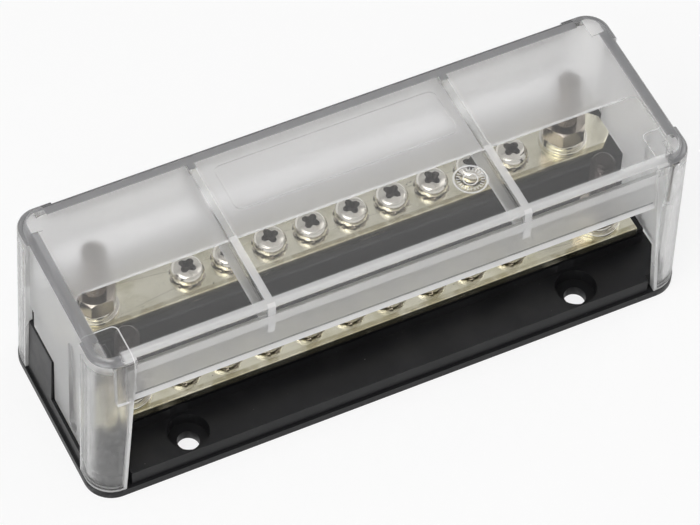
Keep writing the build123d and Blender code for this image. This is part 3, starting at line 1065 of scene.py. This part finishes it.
class BUSBAR_OT_stage(bpy.types.Operator):
    """Set the floor, the lamps, the white background and the camera"""

    bl_idname = "busbar.stage"
    bl_label = "Stage"

    def execute(self, context):
        style = context.scene.studio
        self.floor(style)
        self.world(style)
        lamp("key_lamp", spot=(-0.38, -0.20, 0.60), size=0.5, power=style.key_power)
        lamp("fill_lamp", spot=(0.55, 0.10, 0.45), size=0.4, power=style.fill_power)
        self.camera(style)
        context.scene.view_settings.view_transform = "Standard"
        return {"FINISHED"}

    def floor(self, style):
        """A wide matt floor that looks almost white, and still takes the object's shadow."""
        shape = bmesh.new()
        bmesh.ops.create_grid(shape, x_segments=1, y_segments=1, size=3.0)
        made = loose_object("floor", shape)
        finish, tree, shader, _ = material("floor_white")
        shader.inputs["Base Color"].default_value = (*style.floor, 1)
        shader.inputs["Roughness"].default_value = 0.9
        shader.inputs["Specular IOR Level"].default_value = 0.0
        # How white the floor looks, straight or through the cover, and in a reflection
        seen_white, mirrored_white = 0.82, 0.35
        path = tree.nodes.new("ShaderNodeLightPath").outputs
        seen = maths(tree, "MAXIMUM", path["Is Camera Ray"], path["Is Transmission Ray"])
        fac = maths(
            tree,
            "MAXIMUM",
            maths(tree, "MULTIPLY", seen, seen_white),
            maths(tree, "MULTIPLY", path["Is Glossy Ray"], mirrored_white),
        )
        glow = node(tree, "ShaderNodeEmission", {"Strength": 1.0}).outputs[0]
        mixed = node(tree, "ShaderNodeMixShader", {0: fac, 1: shader.outputs[0], 2: glow})
        tree.links.new(mixed.outputs[0], tree.nodes["Material Output"].inputs["Surface"])
        made.data.materials.append(finish)

    def world(self, style):
        """A white background, greyer overhead, and its own strength as a light."""
        world = bpy.data.worlds.new("studio_world")
        bpy.context.scene.world = world
        world.use_nodes = True
        tree = world.node_tree
        place = tree.nodes.new("ShaderNodeTexCoord").outputs["Generated"]
        height = node(tree, "ShaderNodeSeparateXYZ", {"Vector": place}).outputs["Z"]
        low, high, white, overhead = 0.35, 0.85, 1.0, 0.86
        background = band(tree, height, low, high, white, overhead)
        path = tree.nodes.new("ShaderNodeLightPath").outputs
        seen = strongest(
            tree, path["Is Camera Ray"], path["Is Glossy Ray"], path["Is Transmission Ray"]
        )
        back = tree.nodes["Background"]
        back.inputs["Color"].default_value = (1, 1, 1, 1)
        socket(tree, back, "Strength", between(tree, seen, style.world_light, background))

    def camera(self, style):
        """The camera that was fitted to the photo's view."""
        a, e, roll = style.azimuth, style.elevation, style.roll
        right = Vector((cos(a), sin(a), 0))
        back = Vector((sin(a) * cos(e), -cos(a) * cos(e), sin(e)))
        up = back.cross(right)
        side = cos(roll) * right + sin(roll) * up
        top = cos(roll) * up - sin(roll) * right
        # The photo's frame is centred a little to the left of the object's middle and above it
        left, above = 0.31 * MM, 0.59 * MM
        target = MIDDLE - left * side + above * top
        data = bpy.data.cameras.new("camera")
        data.sensor_width = 36.0
        data.lens = style.focal
        data.clip_start, data.clip_end = 0.01, 20
        made = bpy.data.objects.new("camera", data)
        turn = Matrix((side, top, back)).transposed().to_4x4()
        made.matrix_world = Matrix.Translation(target + back * style.distance) @ turn
        bpy.context.scene.collection.objects.link(made)
        bpy.context.scene.camera = made


OPERATORS = (
    BUSBAR_OT_base,
    BUSBAR_OT_bars,
    BUSBAR_OT_studs,
    BUSBAR_OT_nuts,
    BUSBAR_OT_screws,
    BUSBAR_OT_star_washers,
    BUSBAR_OT_cover,
    BUSBAR_OT_stage,
)
GROUPS = {
    "base_plastic": BasePlastic,
    "cover_plastic": CoverPlastic,
    "plating": Plating,
    "terminals": Terminals,
    "studio": Studio,
}


class BUSBAR_PT_panel(bpy.types.Panel):
    """Steps and settings of the bus bar, in the 3D view's sidebar"""

    bl_idname = "BUSBAR_PT_panel"
    bl_label = "Bus bar"
    bl_space_type = "VIEW_3D"
    bl_region_type = "UI"
    bl_category = "Bus bar"

    def draw(self, context):
        for each in OPERATORS:
            self.layout.operator(each.bl_idname)
        for name, group in GROUPS.items():
            box = self.layout.box()
            for setting in group.__annotations__:
                box.prop(getattr(context.scene, name), setting)


def register():
    """Makes the steps and settings known to Blender."""
    for each in (*GROUPS.values(), *OPERATORS, BUSBAR_PT_panel):
        bpy.utils.register_class(each)
    for name, group in GROUPS.items():
        setattr(bpy.types.Scene, name, PointerProperty(type=group))


def unregister():
    """Takes them out again."""
    for name in GROUPS:
        delattr(bpy.types.Scene, name)
    for each in reversed((*GROUPS.values(), *OPERATORS, BUSBAR_PT_panel)):
        bpy.utils.unregister_class(each)


def main():
    register()
    for each in OPERATORS:
        family, action = each.bl_idname.split(".")
        getattr(getattr(bpy.ops, family), action)()


if __name__ == "__main__":
    main()
